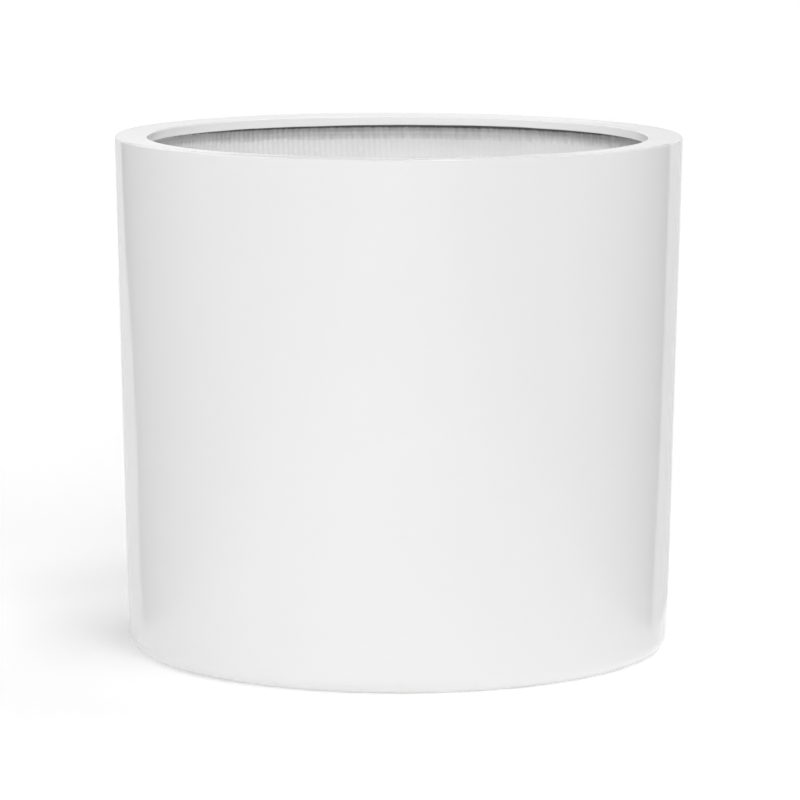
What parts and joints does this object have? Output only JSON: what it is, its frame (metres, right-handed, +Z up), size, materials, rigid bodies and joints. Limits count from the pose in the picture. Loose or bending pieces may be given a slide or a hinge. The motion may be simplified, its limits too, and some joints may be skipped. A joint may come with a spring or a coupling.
{
  "type": "cachepot",
  "caption": "Round tapered floor cachepot in glass-reinforced resin with a flat inward rim, woven glass lining and a pull-out drain stopper.",
  "frame": {"origin": "centre of the base, on the plane the pot stands on", "axes": "+Z up along the pot's axis; -Y is the front seen in the picture"},
  "size_m": [0.4299, 0.4298, 0.3909],
  "materials": {
    "white_gloss": "white polished lacquer on filled polyester resin",
    "glass_cloth": "bare plain-weave glass cloth wetted out with clear resin",
    "glass_tape": "resin-rich woven glass tape",
    "stopper_rubber": "moulded black rubber"
  },
  "bodies": {
    "pot": {"outer_shell": "white_gloss", "rim_flange": "white_gloss", "wall_lining": "glass_cloth", "floor_lining": "glass_cloth", "corner_tape": "glass_tape", "rim_tape": "glass_tape"},
    "stopper": {"drain_plug": "stopper_rubber"}
  },
  "joints": [
    {"name": "stopper_pull", "type": "slide", "parent": "pot", "child": "stopper", "axis": [0, 0, 1], "range_m": [0, 0.42]}
  ]
}
